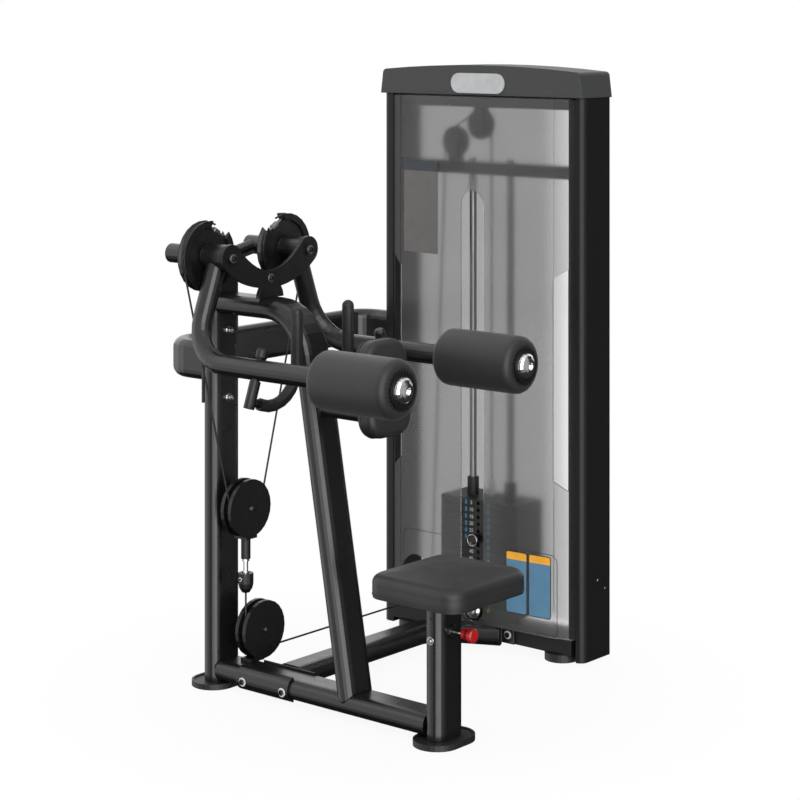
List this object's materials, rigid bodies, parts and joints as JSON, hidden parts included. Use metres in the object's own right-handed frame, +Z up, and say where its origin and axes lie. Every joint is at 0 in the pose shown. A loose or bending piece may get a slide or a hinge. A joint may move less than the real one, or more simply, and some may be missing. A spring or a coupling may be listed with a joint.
{
  "type": "lateral raise machine",
  "caption": "Seated lateral raise gym machine: two padded lever arms on cams pull cables that lift a weight stack in a tower.",
  "frame": {"origin": "bottom centre of the bounding box, on the floor", "axes": "+Z up, +X the way the user faces away from the machine's rear upright, +Y towards the weight tower"},
  "size_m": [1.0809, 1.142, 1.562],
  "materials": {
    "frame": "gloss_powder_coat",
    "dark": "satin_black",
    "foam": "matt",
    "rubber": "matt",
    "chrome": "polished",
    "steel": "brushed",
    "plates": "satin_black",
    "cap": "satin",
    "panel": "smoked",
    "badge": "brushed",
    "red": "gloss"
  },
  "bodies": {
    "frame": {"rear_foot": "rubber", "front_foot": "rubber", "rear_upright": "frame", "base_rail": "frame", "seat_post": "frame", "main_post": "frame", "near_side_plate": "frame", "far_side_plate": "frame", "cross_tube": "frame", "rear_band": "frame", "rear_pivot_bracket": "frame", "front_pivot_plate": "dark", "left_axle": "steel", "right_axle": "steel", "lower_pulley_bracket": "dark", "left_tower_post": "frame", "right_tower_post": "frame", "tower_lower_rail": "frame", "tower_header": "frame", "tower_crossbar": "frame", "left_tower_foot": "rubber", "right_tower_foot": "rubber", "front_panel": "panel", "back_panel": "panel", "tower_cap": "cap", "cap_badge": "badge", "resting_plates": "plates", "left_guide_rod": "chrome", "right_guide_rod": "chrome", "stack_pad": "rubber", "chest_pad": "rubber", "arm_cable": "dark", "stack_cable": "dark"},
    "left_arm": {"left_arm": "frame", "left_cam": "dark", "left_handle_pin": "dark", "left_end_cap": "chrome"},
    "left_handle": {"left_handle": "steel", "left_grip": "rubber"},
    "left_roller": {"left_roller": "foam"},
    "right_arm": {"right_arm": "frame", "right_cam": "dark", "right_handle_pin": "dark", "right_end_cap": "chrome"},
    "right_handle": {"right_handle": "steel", "right_grip": "rubber"},
    "right_roller": {"right_roller": "foam"},
    "pulley_yoke": {"floating_pulley_yoke": "dark", "cable_connector": "dark"},
    "floating_pulley": {"floating_pulley": "dark"},
    "lower_pulley": {"lower_pulley": "dark"},
    "bottom_pulley": {"bottom_pulley": "dark"},
    "middle_pulley": {"middle_pulley": "dark"},
    "top_pulley": {"top_pulley": "dark"},
    "lifted_stack": {"lifted_plates": "plates", "selector_stem": "steel"},
    "selector_pin": {"selector_pin": "dark"},
    "seat": {"seat_pad": "rubber", "seat_slide": "steel"},
    "seat_pull_pin": {"seat_pull_pin": "red"}
  },
  "joints": [
    {"name": "left_arm_raise", "type": "hinge", "parent": "frame", "child": "left_arm", "pos_m": [-0.2075, -0.41304, 1.101], "axis": [-1, 0, 0], "range_deg": [0, 80]},
    {"name": "right_arm_raise", "type": "hinge", "parent": "frame", "child": "right_arm", "pos_m": [-0.2075, -0.13304, 1.101], "axis": [1, 0, 0], "range_deg": [0, 80]},
    {"name": "left_handle_swivel", "type": "hinge", "parent": "left_arm", "child": "left_handle", "pos_m": [0.0125, -0.50196, 0.85668], "axis": [0, 0.342, 0.9397], "range_deg": [-30, 30]},
    {"name": "right_handle_swivel", "type": "hinge", "parent": "right_arm", "child": "right_handle", "pos_m": [0.0125, -0.04411, 0.85668], "axis": [0, -0.342, 0.9397], "range_deg": [-30, 30]},
    {"name": "left_roller_spin", "type": "hinge", "parent": "left_arm", "child": "left_roller", "pos_m": [0.3375, -0.50196, 0.85668], "axis": [1, 0, 0], "continuous": true},
    {"name": "right_roller_spin", "type": "hinge", "parent": "right_arm", "child": "right_roller", "pos_m": [0.3375, -0.04411, 0.85668], "axis": [1, 0, 0], "continuous": true},
    {"name": "yoke_lift", "type": "slide", "parent": "frame", "child": "pulley_yoke", "axis": [0, 0, 1], "range_m": [0, 0.12], "deforming": ["arm_cable", "stack_cable"]},
    {"name": "floating_pulley_spin", "type": "hinge", "parent": "pulley_yoke", "child": "floating_pulley", "pos_m": [-0.2485, -0.27304, 0.455], "axis": [1, 0, 0], "continuous": true},
    {"name": "lower_pulley_spin", "type": "hinge", "parent": "frame", "child": "lower_pulley", "pos_m": [-0.2485, -0.22104, 0.14], "axis": [1, 0, 0], "range_deg": [-135, 0]},
    {"name": "bottom_pulley_spin", "type": "hinge", "parent": "frame", "child": "bottom_pulley", "pos_m": [-0.2485, 0.43496, 0.124], "axis": [1, 0, 0], "range_deg": [-190, 0]},
    {"name": "middle_pulley_spin", "type": "hinge", "parent": "frame", "child": "middle_pulley", "pos_m": [-0.1625, 0.47096, 1.35], "axis": [0, 1, 0], "range_deg": [-190, 0]},
    {"name": "top_pulley_spin", "type": "hinge", "parent": "frame", "child": "top_pulley", "pos_m": [-0.075, 0.47096, 1.4], "axis": [0, 1, 0], "range_deg": [-190, 0]},
    {"name": "stack_lift", "type": "slide", "parent": "frame", "child": "lifted_stack", "axis": [0, 0, 1], "range_m": [0, 0.12]},
    {"name": "selector_pin_pull", "type": "slide", "parent": "lifted_stack", "child": "selector_pin", "axis": [0, -1, 0], "range_m": [0, 0.065]},
    {"name": "seat_height", "type": "slide", "parent": "frame", "child": "seat", "axis": [0, 0, 1], "range_m": [0, 0.12]},
    {"name": "seat_pin_pull", "type": "slide", "parent": "frame", "child": "seat_pull_pin", "axis": [1, 0, 0], "range_m": [0, 0.012], "stiffness_N_per_m": 600}
  ],
  "couplings": [
    {"joint": "right_arm_raise", "follows": "left_arm_raise", "ratio": 1},
    {"joint": "yoke_lift", "follows": "left_arm_raise", "m_per_rad": 0.085},
    {"joint": "stack_lift", "follows": "left_arm_raise", "m_per_rad": 0.085},
    {"joint": "lower_pulley_spin", "follows": "left_arm_raise", "ratio": -1.6346},
    {"joint": "bottom_pulley_spin", "follows": "left_arm_raise", "ratio": -2.3611},
    {"joint": "middle_pulley_spin", "follows": "left_arm_raise", "ratio": -2.3611},
    {"joint": "top_pulley_spin", "follows": "left_arm_raise", "ratio": -2.3611}
  ]
}
